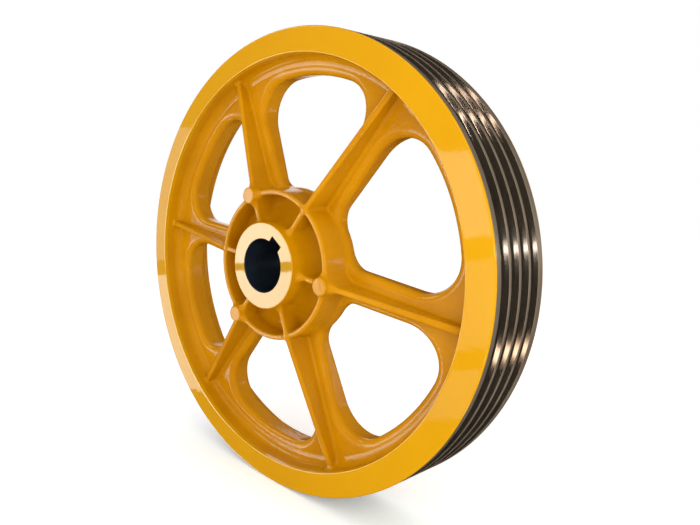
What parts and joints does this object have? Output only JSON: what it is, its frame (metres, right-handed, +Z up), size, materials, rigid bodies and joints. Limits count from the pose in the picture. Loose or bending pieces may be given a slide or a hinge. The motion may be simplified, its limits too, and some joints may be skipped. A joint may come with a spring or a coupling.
{
  "type": "wire rope sheave",
  "caption": "Cast iron wire rope sheave with parallel rope grooves, ribbed spokes and windows, and a keyed bore through a raised hub.",
  "frame": {"origin": "middle of the bore, on the axis, halfway along the hub", "axes": "+Y along the axis towards the plain back; the ribbed front faces -Y; +Z up; +X to the right seen from the front"},
  "size_m": [0.64, 0.115, 0.64],
  "materials": {
    "paint": "gloss"
  },
  "bodies": {
    "root": {"sheave": "paint"}
  },
  "joints": []
}
